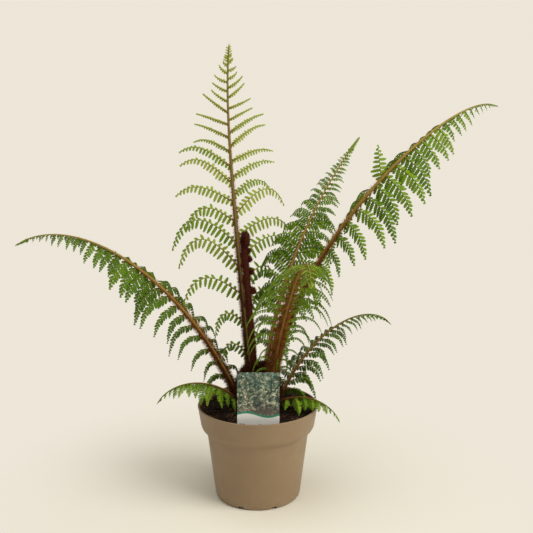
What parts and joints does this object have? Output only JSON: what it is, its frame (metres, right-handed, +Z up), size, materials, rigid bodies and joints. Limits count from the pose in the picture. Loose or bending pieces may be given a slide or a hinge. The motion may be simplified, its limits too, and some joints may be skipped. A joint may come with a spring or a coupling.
{
  "type": "potted tree fern",
  "caption": "Young tree fern in a taupe plastic nursery pot: a hairy crown, arching feathery fronds, a coiled young frond and a plant label standing in the soil.",
  "frame": {"origin": "middle of the pot's flat underside", "axes": "+Z up; -Y is the front, the side that the label faces; +X to the right seen from the front"},
  "size_m": [0.7913, 0.4238, 0.7102],
  "materials": {
    "pot": "satin",
    "soil": "matte",
    "crown": "matte",
    "crozier": "matte",
    "foliage": "satin",
    "young_foliage": "satin",
    "label": "gloss"
  },
  "bodies": {
    "root": {"pot": "pot", "soil": "soil", "label": "label", "crown": "crown", "crozier": "crozier", "frond_upright": "young_foliage", "frond_long_right": "foliage", "frond_long_right_tip": "foliage", "frond_left": "foliage", "frond_left_tip": "foliage", "frond_back_right": "foliage", "frond_small_right": "foliage", "frond_front": "foliage", "frond_front_tip": "foliage", "frond_low_left": "young_foliage", "frond_low_right": "young_foliage"}
  },
  "joints": []
}
